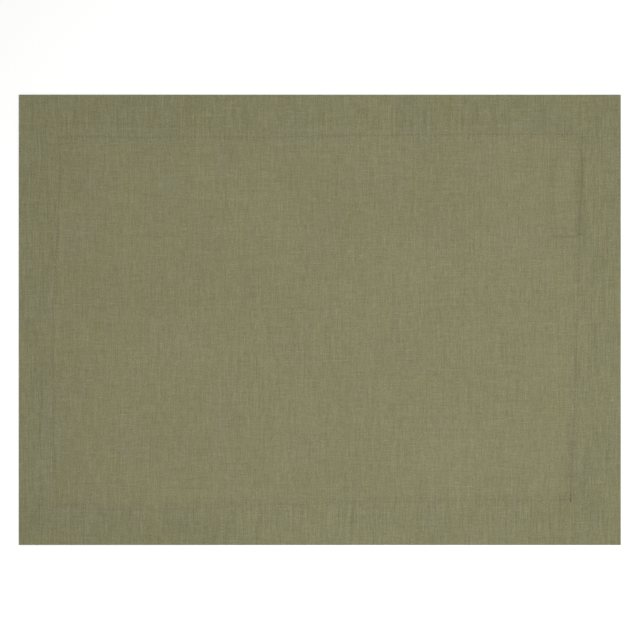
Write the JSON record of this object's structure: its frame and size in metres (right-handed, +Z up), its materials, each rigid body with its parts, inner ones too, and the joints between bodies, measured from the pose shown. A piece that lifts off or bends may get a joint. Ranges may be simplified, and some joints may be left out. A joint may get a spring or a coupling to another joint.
{
  "type": "fabric placemat",
  "caption": "Flat rectangular woven cloth placemat with wide turned-under stitched hems, mitred corners and a blank label caught under a hem, to lie under a place setting.",
  "frame": {"origin": "on the table under the middle of the mat", "axes": "+X along the long side, to the right for the diner; +Y across to the far side, away from the diner; +Z up, out of the face of the mat"},
  "size_m": [0.508, 0.38, 0.0023],
  "materials": {
    "linen": "matt plain weave in olive green with a grey-violet fleck and slubs, as linen has",
    "label_tape": "smooth off-white woven tape, blank"
  },
  "bodies": {
    "root": {"placemat_cloth": "linen", "hem_label": "label_tape"}
  },
  "joints": []
}
